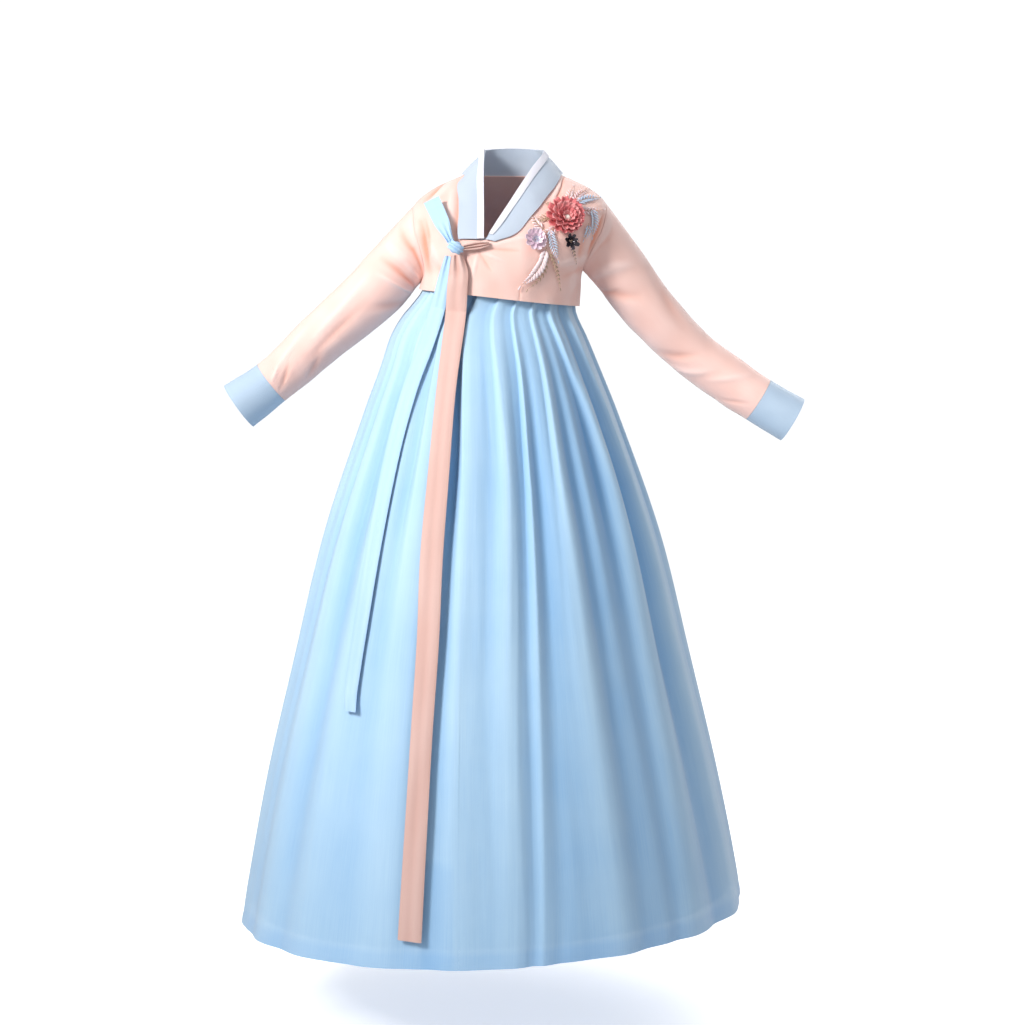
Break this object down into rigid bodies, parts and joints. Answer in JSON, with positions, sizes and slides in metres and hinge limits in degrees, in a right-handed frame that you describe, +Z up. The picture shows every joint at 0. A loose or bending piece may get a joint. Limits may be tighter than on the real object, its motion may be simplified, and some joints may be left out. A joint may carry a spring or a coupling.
{
  "type": "korean hanbok",
  "caption": "Worn Korean hanbok, hollow: peach wrap jacket with pale blue collar, cuffs and ribbon bow over a long pleated pale blue skirt.",
  "frame": {"origin": "middle of the neck at shoulder height, where the wearer's shoulders carry the garment", "axes": "+Z up the standing wearer, front towards -Y, +X towards the wearer's left"},
  "size_m": [0.9775, 0.8132, 1.3178],
  "materials": {
    "peach_cloth": "satin-faced cloth",
    "pale_blue_cloth": "satin-faced cloth",
    "white_cloth": "plain weave",
    "skirt_organza": "sheer, softly crisp",
    "skirt_lining": "plain weave",
    "coral_petals": "matte petals with beads",
    "lilac_petals": "sequined",
    "dark_sequins": "glossy sequins",
    "silver_beading": "bead and sequin embroidery"
  },
  "bodies": {
    "root": {"jeogori_front_left": "peach_cloth", "jeogori_front_right": "peach_cloth", "jeogori_back": "peach_cloth", "sleeve_left": "peach_cloth", "sleeve_right": "peach_cloth", "goreum_stub": "peach_cloth", "goreum_tail": "peach_cloth", "cuff_left": "pale_blue_cloth", "cuff_right": "pale_blue_cloth", "git": "pale_blue_cloth", "goreum_knot": "pale_blue_cloth", "goreum_loop": "pale_blue_cloth", "goreum_blue_tail": "pale_blue_cloth", "dongjeong": "white_cloth", "chima_band": "white_cloth", "chima_front_left": "skirt_organza", "chima_back": "skirt_organza", "chima_front_right": "skirt_organza", "chima_lining": "skirt_lining", "flower_large": "coral_petals", "flower_small": "lilac_petals", "flower_dark": "dark_sequins", "spray_1": "silver_beading", "spray_2": "silver_beading", "spray_3": "silver_beading", "spray_4": "silver_beading", "spray_5": "silver_beading", "spray_6": "silver_beading", "spray_7": "silver_beading"}
  },
  "joints": []
}
